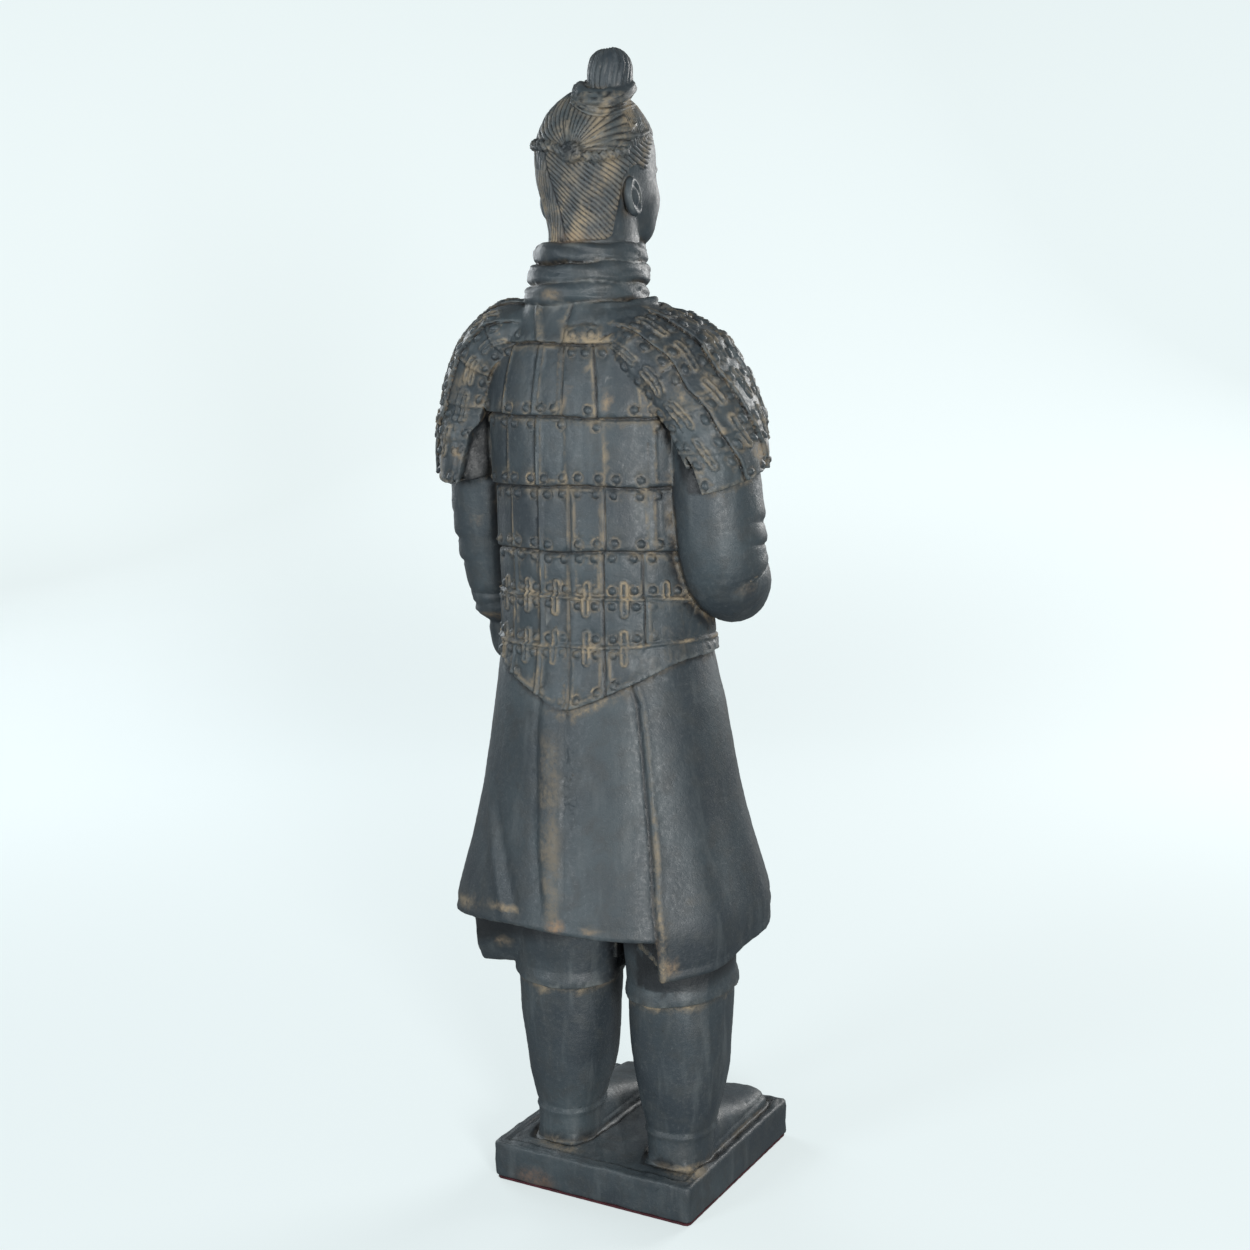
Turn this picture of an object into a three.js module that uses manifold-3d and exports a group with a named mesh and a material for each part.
// Terracotta warrior statue: a cast souvenir copy of a standing armoured soldier on its own
// square base, with a felt pad glued under the base.
// Millimetres, +Z up. The figure faces -Y, its left hand is towards +X.
// The origin is the centre of the underside of the felt pad, on the surface it stands on.
// The figure and its base are one fired clay casting, so they are one solid.

import * as THREE from 'three';
import { mergeVertices } from 'three/addons/utils/BufferGeometryUtils.js';
import Module from 'manifold-3d';

// ---------------------------------------------------------------- driving dimensions
const BASE_W = 92.0;          // base, side to side
const BASE_D = 92.0;          // base, front to back
const BASE_TOP = 16.5;        // top of the base above the surface it stands on
const BASE_CORNER = 2.4;      // plan radius of the base's corners
const BASE_EDGE = 1.4;        // rounding of its edges
const FELT_T = 1.2;           // felt pad
const FELT_INSET = 0.8;       // felt stands back from the base's edge
const FELT_CORNER = 1.8;
const BODY_X = 0.0;           // axis of the trunk
const BODY_Y = 18.0;
const LEG_X = 25.8;           // each leg from the mid line
const LEG_MID_X = -3.0;       // the feet stand a little to the figure's right
const LEG_Y = 17.0;
const HEEL_Y = 33.0;          // back of the heels
const TOE_Y = -39.0;          // front of the shoes
const SHOE_W = 24.0;
const CUFF_Z = 89.5;          // lower rim of the trouser legs
const HEM_Z = 117.0;          // hem of the robe
const PANEL_DROP = 13.0;      // the overlapping panel hangs lower at its corner
const PANEL_TH_TOP = 217.0;   // where the overlapping panel ends under the armour, degrees round from the front
const PANEL_TH_HEM = 224.0;   // and at the hem
const UNDER_HEM_Z = 89.0;     // hem of the under-robe at the front
const ARMOUR_HEM_SIDE = 221.0;// lower edge of the armour at the sides
const ARMOUR_HEM_BACK = 204.0;// its point at the back
const ARMOUR_HEM_FRONT = 186.0;// its point at the front
const ROW_Z = [342.5, 317, 289.5, 265, 247.5, 229]; // lower edges of the plate rows on the trunk
const ROW_LAP = 1.1;          // how far a row stands over the next one
const PLATES_ROUND = 18;      // plates round the trunk
const PLATE_LAP = 0.5;
const PAD_ROWS = 5;           // plate rows on each shoulder guard
const PAD_LAP = 0.9;
const COLLAR = [[374.9, 21.3, 4.0], [367.4, 23.2, 4.0], [360.0, 23.9, 4.2]]; // scarf rolls: height, radius, thickness
const HEAD_Z = 406.5;         // middle of the head
const HEAD_A = 21.7;          // half width
const HEAD_B = 24.0;          // half depth
const HEAD_X = -1.2;          // centre of the head from the mid line
const HEAD_Y = 18.9;
const NECK_R = 16.6;
const HEAD_H = 30.5;          // half height
const HEAD_TURN = -12.0;      // degrees; the head looks a little to the figure's right
const BAND_Z = 416.0;         // braid round the head, lower at the back
const KNOT_X = -11.5;         // top-knot from the mid line
const KNOT_Y = 24.5;
const KNOT_TOP = 449.0;

const CLAY = 0x474d52, FELT = 0x4a1420;
const RAD = Math.PI / 180;

// ---------------------------------------------------------------- helpers
const lerp = (a, b, t) => a + (b - a) * t;
const clamp = (x, a, b) => Math.min(b, Math.max(a, x));
const smooth = (a, b, x) => { const t = clamp((x - a) / (b - a), 0, 1); return t * t * (3 - 2 * t); };
const bump = (x, c, w) => Math.exp(-(((x - c) / w) ** 2));
const angDiff = (a, b) => { let d = (a - b) % 360; if (d > 180) d -= 360; if (d < -180) d += 360; return d; };

// value of each column of a table of stations at height z, with smooth joins
function station(table, z) {
  const n = table.length;
  if (z <= table[0][0]) return table[0].slice(1);
  if (z >= table[n - 1][0]) return table[n - 1].slice(1);
  let i = 0;
  while (z > table[i + 1][0]) i++;
  const a = table[i], b = table[i + 1], p = table[Math.max(0, i - 1)], q = table[Math.min(n - 1, i + 2)];
  const h = b[0] - a[0], t = (z - a[0]) / h;
  return a.slice(1).map((_, k) => {
    const y0 = a[k + 1], y1 = b[k + 1];
    const m0 = i > 0 ? (y1 - p[k + 1]) / (b[0] - p[0]) * h : (y1 - y0);
    const m1 = i < n - 2 ? (q[k + 1] - y0) / (q[0] - a[0]) * h : (y1 - y0);
    const t2 = t * t, t3 = t2 * t;
    return (2 * t3 - 3 * t2 + 1) * y0 + (t3 - 2 * t2 + t) * m0 + (-2 * t3 + 3 * t2) * y1 + (t3 - t2) * m1;
  });
}

// a closed tube: nu sides, rings at the given parameters; place(v, thetaDeg, r) gives a point,
// r is 1 on the skin and 0 at the middle of the two end faces
function tube(nu, vs, place) {
  const g = new THREE.CylinderGeometry(1, 1, 1, nu, vs.length - 1, false);
  const p = g.attributes.position;
  for (let i = 0; i < p.count; i++) {
    const x = p.getX(i), y = p.getY(i), z = p.getZ(i);
    const k = Math.round((y + 0.5) * (vs.length - 1));
    const r = Math.min(1, Math.hypot(x, z));
    const th = r > 1e-6 ? Math.atan2(x, z) / RAD : 0;
    const q = place(vs[k], (th + 360) % 360, r < 0.5 ? 0 : 1);
    p.setXYZ(i, q.x, q.y, q.z);
  }
  g.deleteAttribute('normal'); g.deleteAttribute('uv');
  return mergeVertices(g, 1e-4);
}
const steps = (a, b, n) => Array.from({ length: n + 1 }, (_, i) => lerp(a, b, i / n));

// point of a rounded section: theta 0 is the front (-Y), 90 is +X, n = 2 is an ellipse
function ring(th, a, b, n = 2) {
  const s = Math.sin(th * RAD), c = -Math.cos(th * RAD);
  const e = 2 / n;
  return [a * Math.sign(s) * Math.abs(s) ** e, b * Math.sign(c) * Math.abs(c) ** e];
}

// a limb: a tube along a smooth curve, its sections across the curve
function limb(nu, nv, points, radii, wrinkle = () => 0) {
  const curve = new THREE.CatmullRomCurve3(points.map((q) => new THREE.Vector3(...q)), false, 'centripetal');
  const fr = curve.computeFrenetFrames(nv, false);
  const ref = new THREE.Vector3(1, 0, 0);
  return tube(nu, steps(0, 1, nv), (v, th, r) => {
    const i = Math.round(v * nv), c = curve.getPointAt(v), t = fr.tangents[i];
    const bx = ref.clone().addScaledVector(t, -ref.dot(t)).normalize();
    const by = new THREE.Vector3().crossVectors(t, bx);
    const f = v * (radii.length - 1), k = Math.min(radii.length - 2, Math.floor(f)), u = f - k;
    const ra = lerp(radii[k][0], radii[k + 1][0], u) + wrinkle(v, th), rb = lerp(radii[k][1], radii[k + 1][1], u) + wrinkle(v, th);
    return c.addScaledVector(bx, r * ra * Math.sin(th * RAD)).addScaledVector(by, r * rb * Math.cos(th * RAD));
  });
}

// an egg: a sphere whose points are moved by a function
function egg(nu, nv, place) {
  const g = new THREE.SphereGeometry(1, nu, nv);
  const p = g.attributes.position;
  for (let i = 0; i < p.count; i++) {
    const q = place(p.getX(i), -p.getZ(i), p.getY(i));
    p.setXYZ(i, q[0], q[1], q[2]);
  }
  g.deleteAttribute('normal'); g.deleteAttribute('uv');
  return mergeVertices(g, 1e-4);
}

// a ring of round section that follows an ellipse and tilts
function roll(cx, cy, cz, a, b, t, tiltX, tiltY, nu = 24, nt = 6, lump = 0) {
  const g = new THREE.TorusGeometry(1, 0.25, nt, nu);
  const p = g.attributes.position;
  for (let i = 0; i < p.count; i++) {
    const x = p.getX(i), y = p.getY(i), z = p.getZ(i);
    const R = Math.hypot(x, y), th = Math.atan2(y, x);
    const tt = t * (1 + lump * Math.sin(2 * th + 0.7));
    const rr = (R - 1) / 0.25, zz = z / 0.25;
    const X = Math.cos(th) * (a + rr * tt), Y = Math.sin(th) * (b + rr * tt);
    p.setXYZ(i, cx + X, cy + Y, cz + zz * tt * 1.08 + tiltX * X + tiltY * Y);
  }
  g.deleteAttribute('normal'); g.deleteAttribute('uv');
  return mergeVertices(g, 1e-4);
}

const wasm = await Module();
wasm.setup();
function solid(geo) {
  const m = new wasm.Mesh({ numProp: 3, vertProperties: new Float32Array(geo.attributes.position.array), triVerts: new Uint32Array(geo.index.array) });
  const s = new wasm.Manifold(m);
  return s.volume() < 0 ? new wasm.Manifold(new wasm.Mesh({ numProp: 3, vertProperties: m.vertProperties, triVerts: m.triVerts.map((_, i, a) => a[i % 3 === 0 ? i : i % 3 === 1 ? i + 1 : i - 1]) })) : s;
}
function toGeometry(man) {
  const m = man.getMesh();
  const g = new THREE.BufferGeometry();
  g.setAttribute('position', new THREE.BufferAttribute(new Float32Array(m.vertProperties), 3));
  g.setIndex(new THREE.BufferAttribute(new Uint32Array(m.triVerts), 1));
  return g;
}

// ---------------------------------------------------------------- base and felt
function slab(w, d, corner, z0, z1, edge, nu) {
  const zs = edge > 0 ? [z0, z0 + edge, z1 - edge, z1] : [z0, z1];
  return tube(nu, zs, (z, th, r) => {
    const inset = edge > 0 && (z === z0 || z === z1) ? edge : 0;
    const hw = w / 2 - inset, hd = d / 2 - inset, rc = Math.max(0.8, corner - inset);
    // walk round a rounded rectangle: each quarter of the sides makes one corner
    const q = Math.floor(((th + 45) % 360) / 90);            // 0 front, 1 left, 2 back, 3 right
    const u = (((th + 45) % 360) % 90) / 90 * 2 - 1;          // -1..1 along that side
    const arc = 0.5;                                          // share of the steps used by corners
    const au = Math.abs(u), s = Math.sign(u);
    let along, inn = 0;
    const half = q % 2 === 0 ? hw : hd, other = q % 2 === 0 ? hd : hw;
    if (au <= 1 - arc) along = s * (half - rc) * au / (1 - arc);
    else { const f = (au - (1 - arc)) / arc * 45 * RAD; along = s * (half - rc + rc * Math.sin(f)); inn = rc * (1 - Math.cos(f)); }
    const out = other - inn;
    const x = q === 0 ? along : q === 1 ? out : q === 2 ? -along : -out;
    const y = q === 0 ? -out : q === 1 ? along : q === 2 ? out : -along;
    return new THREE.Vector3(r * x, r * y, z);
  });
}
const baseGeo = slab(BASE_W, BASE_D, BASE_CORNER, FELT_T, BASE_TOP, BASE_EDGE, 32);
const feltGeo = slab(BASE_W - 2 * FELT_INSET, BASE_D - 2 * FELT_INSET, FELT_CORNER, 0, FELT_T - 0.3, 0, 32);

// ---------------------------------------------------------------- legs, shoes and trouser cuffs
// height, middle x from the leg's own axis, middle y, half width, half depth
const LEG = [
  [12, 0.5, 5.0, 12.0, 12.5], [22, 0.3, 4.0, 12.6, 13.2], [31, 0.2, 2.2, 13.6, 14.6], [45, 0, 0.8, 17.0, 18.2],
  [62, 0, 0.4, 19.2, 20.0], [80, 0, 0.2, 20.4, 21.0], [96, 0, 0, 20.6, 21.2]];
const CUFF = [[CUFF_Z - 2, 0, -0.5, 22.4, 24.0], [CUFF_Z + 1.5, 0, -0.5, 23.6, 25.2], [CUFF_Z + 6, 0, 0, 22.8, 24.2],
  [CUFF_Z + 20, 0, 0, 24.5, 25.5], [CUFF_Z + 48, -2, 0, 25, 25]];
function legGeo(side) {
  const lx = LEG_MID_X + side * LEG_X;
  return tube(14, [12, 20, 29, 31, 40, 52, 66, 82, 96], (z, th, r) => {
    const [mx, my, a, b] = station(LEG, z);
    const [x, y] = ring(th, a, b, 2.2);
    const k = z === 31 ? 0.5 : 0;                     // ankle band
    return new THREE.Vector3(lx + side * mx + r * x * (1 + k / a), LEG_Y + my + r * y * (1 + k / b), z);
  });
}
function cuffGeo(side) {
  const lx = LEG_MID_X + side * LEG_X;
  const tilt = side > 0 ? 0.07 : -0.05;
  return tube(16, [CUFF_Z - 2, CUFF_Z + 1.5, CUFF_Z + 6, CUFF_Z + 30], (z, th, r) => {
    const [mx, my, a, b] = station(CUFF, z);
    const fold = z < CUFF_Z + 10 ? 0.5 * Math.sin(3 * th * RAD + side) : 0;
    const [x, y] = ring(th, a - 1.2 + fold, b - 1.2 + fold, 2);
    return new THREE.Vector3(lx + side * mx + r * x, LEG_Y + my + r * y, z + (z < CUFF_Z + 10 ? tilt * x + 2.0 * Math.cos(th * RAD) : 0));
  });
}
function shoeGeo(side) {
  const lx = LEG_MID_X + side * LEG_X, L = HEEL_Y - TOE_Y;
  // stations from heel to toe: half width, height of the upper
  const S = [[0, 9.2, 9.0], [0.08, 11.6, 12.5], [0.3, 12.2, 15.0], [0.5, 11.8, 13.0], [0.75, 12.2, 8.6], [0.93, 12.0, 7.4], [1, 11.0, 7.6]];
  return tube(12, [0, 0.03, 0.12, 0.35, 0.55, 0.75, 0.92, 0.98, 1], (v, th, r) => {
    const [hw, hh] = station(S, v);
    const end = v === 0 || v === 1 ? 0.72 : 1;
    const s = Math.sin(th * RAD), c = Math.cos(th * RAD);
    const x = hw * end * Math.sign(s) * Math.abs(s) ** 0.55;
    const up = c > 0 ? hh * end * Math.abs(c) ** 0.75 : -5 * Math.abs(c) ** 0.5;
    // the heel-to-toe line turns out a little
    const y = HEEL_Y - v * L;
    return new THREE.Vector3(lx + side * (0.5 - 1.2 * v) + r * x, y, BASE_TOP - 1 + r * up);
  });
}

// ---------------------------------------------------------------- robe
// height, middle y, half width, half depth
const ROBE = [
  [96, 18, 60.0, 53.0], [106, 18, 61.8, 54.5], [116, 18, 63.0, 56.0], [124, 18, 63.2, 56.0], [132, 18, 61.4, 53.6],
  [150, 18, 56.4, 48.6], [170, 18, 51.8, 44.2], [192, 18, 48.1, 40.4], [212, 18, 44.9, 37.0], [235, 18, 42.6, 33.5]];
const ROBE_X = 1.0;           // the robe hangs a little to the figure's left
function robeFold(z, th) {
  const k = smooth(215, 118, z);
  return k * (1.6 * bump(angDiff(th, 172), 0, 7) - 1.2 * bump(angDiff(th, 160), 0, 8)
    + 1.6 * bump(angDiff(th, 126), 0, 8) - 1.3 * bump(angDiff(th, 112), 0, 9)
    - 1.8 * bump(angDiff(th, 262), 0, 9) + 1.4 * bump(angDiff(th, 246), 0, 9)
    + 1.3 * bump(angDiff(th, 292), 0, 10) - 1.2 * bump(angDiff(th, 60), 0, 10) + 1.3 * bump(angDiff(th, 44), 0, 9)
    + 1.5 * bump(angDiff(th, 12), 0, 9) - 1.4 * bump(angDiff(th, 335), 0, 10));
}
// the panel that wraps over from the figure's right ends at PANEL_TH and hangs lower there
const panelTh = (z) => lerp(PANEL_TH_HEM, PANEL_TH_TOP, smooth(125, 215, z));
const panelIn = (th, z) => { const d = angDiff(th, panelTh(z)); return d >= -0.01 && d < 150 ? 1 : 0; };
const hemZ = (th) => {
  const d = angDiff(th, PANEL_TH_HEM);
  const drop = d >= 0 && d < 60 ? PANEL_DROP * (1 - smooth(0, 60, d)) : 0;
  return HEM_Z + 5 * bump(angDiff(th, 172), 0, 34) - 2 * bump(angDiff(th, 110), 0, 18) - drop;
};
const robeThetas = 40;
function robeGeo() {
  return tube(robeThetas, steps(0, 1, 8), (v, th, r) => {
    // the sides are moved so that one edge falls on the end of the panel
    const i = Math.round(th / 360 * robeThetas) % robeThetas;
    const near = Math.round(PANEL_TH_HEM / 360 * robeThetas);
    let t = i / robeThetas * 360;
    const onHem = i === near ? PANEL_TH_HEM : i === near - 1 ? PANEL_TH_HEM - 1 : t;
    const lo = r > 0 ? hemZ(onHem) : HEM_Z + 3;
    const z = lerp(lo, 232, v ** 0.9);
    if (i === near) t = panelTh(z);
    if (i === near - 1) t = panelTh(z) - 0.9;
    const [my, a, b] = station(ROBE, z);
    const f = robeFold(z, t) + (panelIn(t, z) ? 1.3 * smooth(222, 190, z) : 0);
    const [x, y] = ring(t, a + f, b + f, 2.15);
    return new THREE.Vector3(ROBE_X + r * x, my + r * y, z);
  });
}
function underRobeGeo() {
  return tube(24, [0, 0.3, 1], (v, th, r) => {
    const d = Math.abs(angDiff(th, 42));
    const low = UNDER_HEM_Z + 26 * smooth(62, 100, d) - 1.5 * Math.cos(4 * th * RAD);
    const z = lerp(low, HEM_Z + 26, v);
    const [, a, b] = station(ROBE, Math.max(z, 116));
    const [x, y] = ring(th, (a - 4.0) * (v === 0 ? 0.975 : 1), (b - 5) * (v === 0 ? 0.975 : 1), 2.15);
    return new THREE.Vector3(ROBE_X + r * x, BODY_Y + r * y, z);
  });
}

// ---------------------------------------------------------------- armoured trunk
const TRUNK = [
  [180, 18, 48.5, 40.0], [200, 18, 46.5, 38.5], [212, 18, 45.0, 37.0], [225, 18, 43.4, 35.0], [245, 18, 42.6, 33.6], [265, 18, 42.6, 33.8],
  [290, 18, 44.0, 34.6], [312, 18.5, 45.8, 34.6], [328, 19.2, 46.5, 32.6], [340, 20.2, 43.5, 29.6], [350, 21.0, 35.0, 26.4],
  [357, 21.8, 26.5, 24.0], [364, 22.4, 21.0, 21.0]];
const armourHem = (th) => {
  const back = Math.abs(angDiff(th, 180)), front = Math.abs(angDiff(th, 0));
  return ARMOUR_HEM_SIDE - (ARMOUR_HEM_SIDE - ARMOUR_HEM_BACK) * (1 - smooth(0, 62, back))
    - (ARMOUR_HEM_SIDE - ARMOUR_HEM_FRONT) * (1 - smooth(0, 60, front));
};
const platesN = PLATES_ROUND * 2;
function trunkGeo() {
  // two rings a row: just over its lower edge and just under it
  const vs = [-1];
  for (let k = ROW_Z.length - 1; k >= 0; k--) vs.push(ROW_Z[k] - 0.35, ROW_Z[k] + 0.35);
  vs.push(350, 357, 364);
  return tube(platesN, vs, (v, th, r) => {
    const z = v === -1 ? (r > 0 ? armourHem(th) : 212) : v;
    let lap = 0;
    if (v === -1) lap = ROW_LAP + 0.8;
    else {
      for (let k = 0; k < ROW_Z.length; k++) {
        const top = k === 0 ? 358 : ROW_Z[k - 1];
        if (z > ROW_Z[k] && z < top) lap = ROW_LAP * (1 - (z - ROW_Z[k]) / (top - ROW_Z[k]));
      }
      if (z < ROW_Z[ROW_Z.length - 1]) lap = 0.1;
    }
    const i = Math.round(th / 360 * platesN) % platesN;
    const plate = z < 350 ? (i % 2 ? PLATE_LAP : 0) : 0;
    const [my, a, b] = station(TRUNK, z);
    const [x, y] = ring(th, a + lap + plate - 0.6, b + lap + plate - 0.6, 2.25);
    return new THREE.Vector3(BODY_X + r * x, my + r * y, z);
  });
}

// ---------------------------------------------------------------- shoulder guards, arms and hands
// each guard is a cap of plate rows that wraps the upper arm, stepped at every row
const PAD_AXIS_R = [[18, 2, 345], [28.5, 2, 338.2], [39.9, 1.5, 327], [47.5, 1.5, 313], [50.0, 2, 303], [50.5, 2.5, 294]];
const PAD_AXIS_L = [[20, 2, 348], [34, 2, 343], [44.8, 1.5, 330], [50.6, 1.5, 314], [52.4, 2, 304], [52.6, 2.5, 296]];
const PAD_RAD = [[11, 24], [16.0, 28.6], [19, 27], [19, 25.2], [18.8, 24.4], [18.2, 23.2]]; // across, front to back
const PAD_TILT = 0.34;        // the lower edge drops towards the back
function padGeo(side) {
  const curve = new THREE.CatmullRomCurve3((side < 0 ? PAD_AXIS_R : PAD_AXIS_L).map(([x, y, z]) => new THREE.Vector3(side * x, BODY_Y + y, z)), false, 'centripetal');
  const vs = [0, 0.1], first = 0.16;
  for (let k = 1; k <= PAD_ROWS; k++) { const e = first + (1 - first) * k / PAD_ROWS; vs.push(e - 0.012); vs.push(k < PAD_ROWS ? e + 0.004 : 1); }
  const rowOf = (v) => clamp(((v - first) / (1 - first)) * PAD_ROWS, 0, PAD_ROWS - 1e-6);
  return tube(18, vs, (v, th, r) => {
    const c = curve.getPointAt(v), t = curve.getTangentAt(v);
    const f = v * (PAD_RAD.length - 1), k = Math.min(PAD_RAD.length - 2, Math.floor(f));
    const lap = v > first ? PAD_LAP * (rowOf(v) % 1) : 0, last = v === 1 ? -1.2 : 0;
    const ha = lerp(PAD_RAD[k][0], PAD_RAD[k + 1][0], f - k) + lap + last, hb = lerp(PAD_RAD[k][1], PAD_RAD[k + 1][1], f - k) + lap + last;
    const bx = new THREE.Vector3(side, 0, 0).addScaledVector(t, -t.x * side).normalize();
    const s = Math.sin(th * RAD), back = -Math.cos(th * RAD);
    const x = r * ha * (s > 0 ? s : 0.8 * s), y = r * hb * back;
    return c.addScaledVector(bx, x).add(new THREE.Vector3(0, y, -PAD_TILT * v * Math.max(-4, y * 0.8 + 4)));
  });
}
const sleeveFold = (v, th) => 0.9 * bump(v, 0.42, 0.05) * (1 + 0.5 * Math.sin(th * RAD)) - 0.9 * bump(v, 0.49, 0.04) + 0.9 * bump(v, 0.56, 0.05) - 0.8 * bump(v, 0.63, 0.04) + 0.7 * bump(v, 0.70, 0.05);
// right arm: hangs from the shoulder, bends at the elbow and reaches forward
const R_ARM = [[-45, BODY_Y + 1, 322], [-49.5, BODY_Y + 3, 300], [-52, BODY_Y + 4, 275], [-52.5, BODY_Y + 1, 257], [-49.5, BODY_Y - 12, 249], [-43, BODY_Y - 27, 250], [-36, BODY_Y - 40, 254]];
const R_RAD = [[15.5, 17], [16.0, 18.5], [16.4, 19], [16.4, 18], [15.2, 16.2], [13.4, 14.2], [12.2, 13]];
// left arm: hangs, slightly bent
const L_ARM = [[47, BODY_Y + 1, 322], [52, BODY_Y, 300], [54.5, BODY_Y - 2, 275], [54.3, BODY_Y - 5, 254], [52.3, BODY_Y - 8, 236]];
const L_RAD = [[15.5, 17], [16.2, 18.0], [15.6, 17.2], [14.4, 15.4], [12.6, 13.4]];
function fist(c, dir, side) {
  const d = new THREE.Vector3(...dir).normalize(), ref = new THREE.Vector3(0, -d.z, d.y).normalize();
  const q = new THREE.Matrix4().makeBasis(new THREE.Vector3().crossVectors(ref, d).normalize(), ref, d);
  return egg(10, 7, (x, y, z) => {
    const k = 1 + 0.06 * Math.sin(9 * y + 1);
    const p = new THREE.Vector3(Math.sign(x) * Math.abs(x) ** 0.85 * 8.4 * k, Math.sign(y) * Math.abs(y) ** 0.8 * 10.2, Math.sign(z) * Math.abs(z) ** 0.8 * 11.5).applyMatrix4(q);
    return [c[0] + p.x, c[1] + p.y, c[2] + p.z];
  });
}
function thumb(c, a, b) {
  return egg(6, 5, (x, y, z) => [c[0] + 3.3 * x + a[0] * z, c[1] + 3.3 * y + a[1] * z, c[2] + b * z + a[2] * y]);
}

// ---------------------------------------------------------------- head, hair and top-knot
function headPoint(x, y, z) {
  // an egg that narrows to the chin in front and is full at the back of the head
  const down = clamp(-z, 0, 1), front = clamp(-y, 0, 1), back = clamp(y, 0, 1);
  const w = HEAD_A * (1 - 0.30 * down ** 1.6 * (0.35 + 0.65 * front) - 0.05 * clamp(z, 0, 1));
  const d = HEAD_B * (1 - 0.16 * down ** 2 * front - 0.22 * down ** 1.4 * back + 0.03 * back);
  const k = 1 + 0.07 * Math.max(0, z) * (1 - z * z) ** 0.5 * 2 * 0.9;   // full crown
  const X = w * x * k, Y = d * y * k, Z = HEAD_H * z;
  const c = Math.cos(HEAD_TURN * RAD), s = Math.sin(HEAD_TURN * RAD);
  return [HEAD_X + X * c - Y * s, HEAD_Y + X * s + Y * c, HEAD_Z + Z];
}
const headGeo = () => egg(18, 12, headPoint);
function onHead(px, py, pz) {  // head-local to part frame
  const c = Math.cos(HEAD_TURN * RAD), s = Math.sin(HEAD_TURN * RAD);
  return [HEAD_X + px * c - py * s, HEAD_Y + px * s + py * c, HEAD_Z + pz];
}
function blob(cx, cy, cz, a, b, h, nu = 10, nv = 6, lean = 0) {
  return egg(nu, nv, (x, y, z) => onHead(cx + a * x, cy + b * y + lean * z, cz + h * z));
}
const neckGeo = () => tube(12, [352, 392], (z, th, r) => {
  const [x, y] = ring(th, NECK_R, NECK_R + 0.8);
  return new THREE.Vector3(HEAD_X + r * x, 21.8 + r * y, z);
});
const bunGeo = () => tube(14, [0, 0.25, 0.5, 0.72, 0.88, 0.97, 1], (v, th, r) => {
  const z = lerp(424, KNOT_TOP, v);
  const R = v < 0.5 ? lerp(6.8, 8.3, v * 2) : 8.3 * Math.sqrt(Math.max(0.05, 1 - ((v - 0.5) / 0.5) ** 2.6));
  const k = 1 + 0.05 * Math.cos(8 * th * RAD);
  return new THREE.Vector3(KNOT_X + 0.8 * v + r * R * k * Math.sin(th * RAD), KNOT_Y - r * R * 0.95 * k * Math.cos(th * RAD), z);
});

const parts = [
  baseGeo, legGeo(1), legGeo(-1), shoeGeo(1), shoeGeo(-1), cuffGeo(1), cuffGeo(-1), underRobeGeo(), robeGeo(), trunkGeo(),
  padGeo(1), padGeo(-1),
  limb(14, 12, R_ARM, R_RAD, sleeveFold), limb(12, 9, L_ARM, L_RAD, (v) => 0.7 * bump(v, 0.86, 0.03) + 0.7 * bump(v, 0.98, 0.03)),
  fist([-32.5, BODY_Y - 47, 257], [0.45, -1, 0.25], -1), fist([52.2, BODY_Y - 10, 225], [-0.05, -0.15, -1], 1),
  thumb([-29.0, BODY_Y - 49, 266], [0, -3, 0], 5), thumb([47.6, BODY_Y - 18, 226], [0, 0, 0], 8),
  neckGeo(),
  ...COLLAR.map(([z, R, t], i) => roll(0.8 + 0.8 * i, 22.0 + 0.5 * i, z, R - t, R - t + 1.2, t, 0.01, 0, 20, 6, 0.06)),
  headGeo(),
  blob(0, -HEAD_B + 0.3, -7.6, 2.6, 3.4, 6.4, 8, 8, -1.4),          // nose
  blob(0, -HEAD_B + 3.0, 0.6, 13.5, 3.6, 1.9, 12, 6),               // brow
  blob(0, -HEAD_B + 6.0, -18.6, 8.0, 4.6, 6.5, 8, 6),              // mouth and chin
  blob(HEAD_A - 1.6, 3.4, -11.4, 2.3, 4.2, 7.0, 7, 6), blob(-HEAD_A + 1.6, 3.4, -11.4, 2.3, 4.2, 7.0, 7, 6), // ears
  roll(HEAD_X, HEAD_Y + 0.3, BAND_Z, HEAD_A * 0.965, HEAD_B * 0.96, 1.7, 0.05, -0.24, 18, 5, 0),   // braid round the head
  blob(-9.0, HEAD_B * 0.97, 4.2, 4.2, 3.2, 3.4, 8, 6),              // knot at the back
  bunGeo(),
  ...[0, 1, 2].map((k) => roll(KNOT_X + 2.2 - 0.9 * k, KNOT_Y + 1.2 - 0.5 * k, 430.2 + 2.4 * k, 9.2 - 1.0 * k, 8.4 - 0.9 * k, 1.9, 0.34 - 0.04 * k, -0.6 + 0.08 * k, 14, 5, 0)),
];

let statue = null;
for (const g of parts) { const s = solid(g); statue = statue ? statue.add(s) : s; }
// the outer skin alone: pockets closed off between the joined pieces are filled with clay
const shells = statue.decompose().sort((a, b) => b.volume() - a.volume());
statue = shells[0];

// ---------------------------------------------------------------- the part
const group = new THREE.Group();
function addMesh(name, geometry, color, roughness) {
  const m = new THREE.Mesh(geometry, new THREE.MeshStandardMaterial({ color, roughness, metalness: 0 }));
  m.name = name;
  group.add(m);
}
addMesh('statue', toGeometry(statue), CLAY, 0.7);
addMesh('felt_pad', feltGeo, FELT, 0.95);

export default group;
